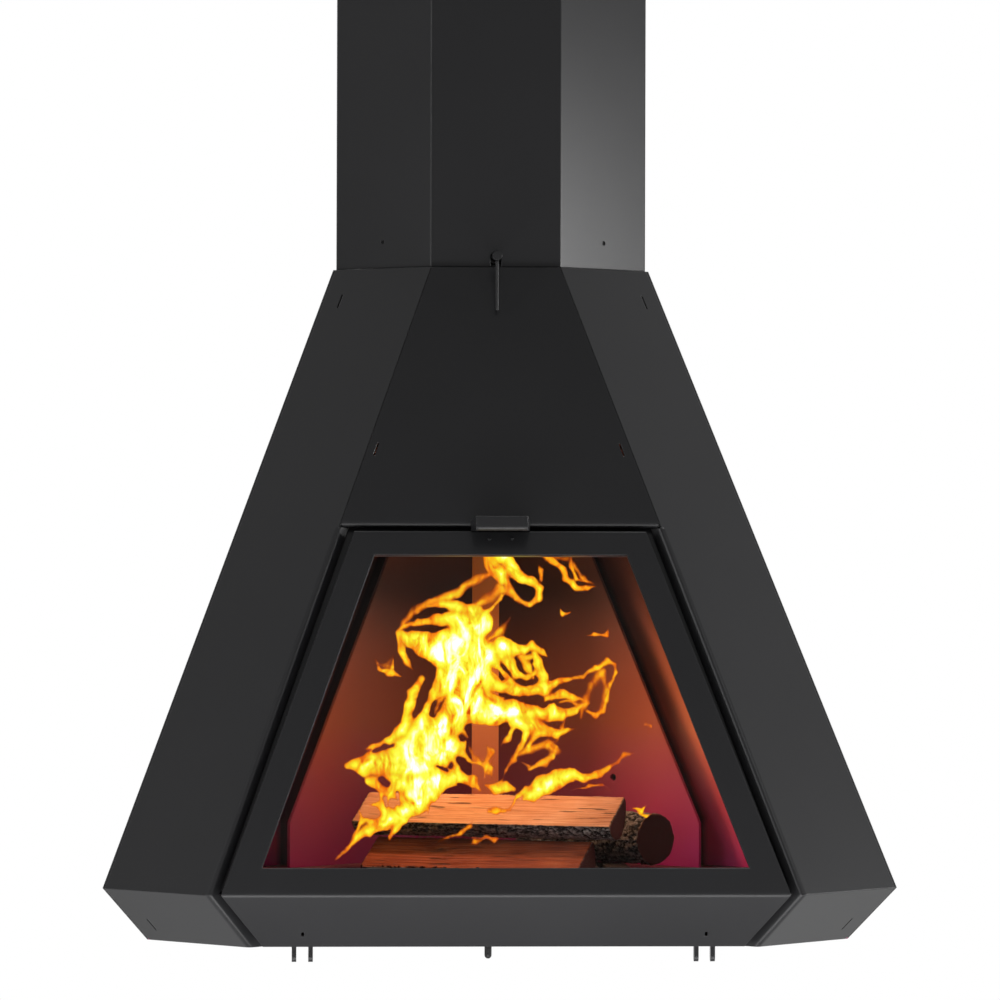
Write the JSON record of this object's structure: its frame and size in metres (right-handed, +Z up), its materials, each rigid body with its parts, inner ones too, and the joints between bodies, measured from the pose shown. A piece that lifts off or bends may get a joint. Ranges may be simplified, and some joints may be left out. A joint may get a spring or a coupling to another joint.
{
  "type": "corner hanging fireplace",
  "caption": "Black steel corner fireplace that hangs on two walls, with a drop-down glass door, a flue casing with a damper lever, an air slide below and split logs inside.",
  "frame": {"origin": "where the two walls meet, at the height of the body's lower edge", "axes": "+Z up, -Y out of the corner towards the room, +X to the viewer's right"},
  "size_m": [0.9, 0.568, 1.352],
  "materials": {
    "black_paint": "matt heat-resistant black paint with a fine grain",
    "chamber_steel": "heat-browned steel sheet",
    "cast_iron": "rough cast iron",
    "bare_steel": "plain rolled steel",
    "fire_glass": "clear ceramic fire glass",
    "ceramic_rope": "woven ceramic fibre",
    "firewood": "split wood with rough bark"
  },
  "bodies": {
    "body": {"upper_front_panel": "black_paint", "right_corner_panel": "black_paint", "left_corner_panel": "black_paint", "right_back_panel": "black_paint", "left_back_panel": "black_paint", "rear_corner_angle": "black_paint", "top_plate": "black_paint", "bottom_plate": "black_paint", "front_apron": "black_paint", "door_jamb": "black_paint", "firebox_floor": "chamber_steel", "fire_grate": "cast_iron", "ash_pan": "bare_steel", "right_liner": "chamber_steel", "left_liner": "chamber_steel", "rear_liner_strip": "chamber_steel", "right_liner_spacer_1": "bare_steel", "left_liner_spacer_1": "bare_steel", "right_liner_spacer_2": "bare_steel", "left_liner_spacer_2": "bare_steel", "smoke_baffle": "chamber_steel", "right_baffle_support": "bare_steel", "left_baffle_support": "bare_steel", "flue_collar": "black_paint", "flue_pipe": "bare_steel", "flue_casing": "black_paint", "right_casing_bracket": "bare_steel", "left_casing_bracket": "bare_steel", "right_casing_screw": "black_paint", "left_casing_screw": "black_paint", "front_damper_bush": "black_paint", "rear_damper_bush": "bare_steel", "right_hinge_tongue": "black_paint", "left_hinge_tongue": "black_paint", "right_air_guide": "bare_steel", "left_air_guide": "bare_steel", "front_log": "firewood", "round_log": "firewood", "top_log": "firewood"},
    "door": {"door_leaf": "black_paint", "door_glass": "fire_glass", "glass_tape": "ceramic_rope", "glass_retainer": "bare_steel", "door_rope": "ceramic_rope", "door_handle": "black_paint", "right_handle_screw": "black_paint", "left_handle_screw": "black_paint", "right_hinge_fork": "black_paint", "left_hinge_fork": "black_paint", "right_hinge_pin": "bare_steel", "left_hinge_pin": "bare_steel"},
    "damper": {"damper_shaft": "bare_steel", "damper_plate": "black_paint", "damper_knob": "black_paint", "damper_lever": "black_paint"},
    "air_control": {"air_slide": "bare_steel", "air_rod": "black_paint"}
  },
  "joints": [
    {"name": "door_tilt", "type": "hinge", "parent": "body", "child": "door", "pos_m": [0, -0.508, 0.008], "axis": [1, 0, 0], "range_deg": [0, 90]},
    {"name": "damper_turn", "type": "hinge", "parent": "body", "child": "damper", "pos_m": [0, -0.172, 0.783], "axis": [0, 1, 0], "range_deg": [0, 90]},
    {"name": "air_slide_travel", "type": "slide", "parent": "body", "child": "air_control", "axis": [0, 1, 0], "range_m": [0, 0.03]}
  ]
}
